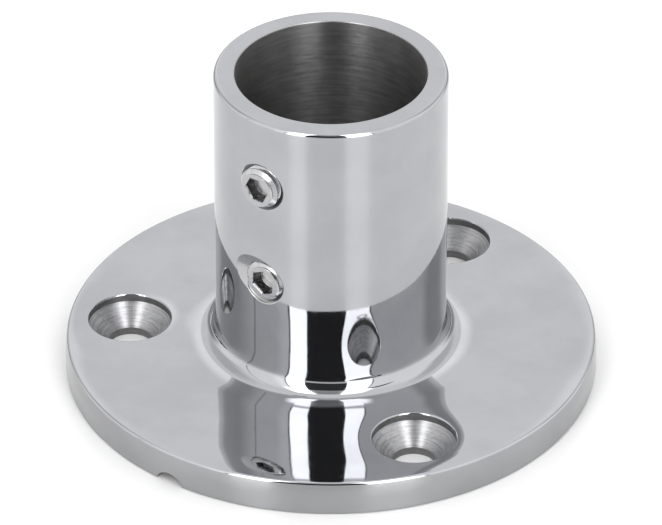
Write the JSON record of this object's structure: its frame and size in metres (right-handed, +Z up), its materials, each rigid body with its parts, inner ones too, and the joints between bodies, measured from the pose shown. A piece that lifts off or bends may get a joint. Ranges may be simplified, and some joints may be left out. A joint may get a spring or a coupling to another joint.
{
  "type": "stanchion base",
  "caption": "Round deck flange with an upright socket that holds a stanchion tube, clamped by set screws in the socket's wall.",
  "frame": {"origin": "centre of the flange's underside, on the socket's axis", "axes": "+Z up along the tube; -Y is the side of the set screws and the drain groove; a deck hole is on the +Y side"},
  "size_m": [0.072, 0.072, 0.046],
  "materials": {
    "casting": "316 stainless steel casting, mirror polished outside, machined in the bore and the countersinks, ground underneath",
    "set_screw": "A4 stainless steel, bright, as rolled"
  },
  "bodies": {
    "base": {"base_casting": "casting"},
    "upper_point": {"upper_cup_point": "set_screw"},
    "upper_screw": {"upper_set_screw": "set_screw"},
    "lower_point": {"lower_cup_point": "set_screw"},
    "lower_screw": {"lower_set_screw": "set_screw"}
  },
  "joints": [
    {"name": "upper_screw_travel", "type": "slide", "parent": "base", "child": "upper_point", "axis": [0, -1, 0], "range_m": [-0.002, 0.0015]},
    {"name": "upper_screw_turn", "type": "hinge", "parent": "upper_point", "child": "upper_screw", "pos_m": [0, -0.0156, 0.036], "axis": [0, -1, 0], "range_deg": [-720, 540]},
    {"name": "lower_screw_travel", "type": "slide", "parent": "base", "child": "lower_point", "axis": [0, -1, 0], "range_m": [-0.0011, 0.0024]},
    {"name": "lower_screw_turn", "type": "hinge", "parent": "lower_point", "child": "lower_screw", "pos_m": [0.00025, -0.0156, 0.021], "axis": [0, -1, 0], "range_deg": [-396, 864]}
  ],
  "couplings": [
    {"joint": "upper_screw_turn", "follows": "upper_screw_travel", "rad_per_m": 6283.2},
    {"joint": "lower_screw_turn", "follows": "lower_screw_travel", "rad_per_m": 6283.2}
  ]
}
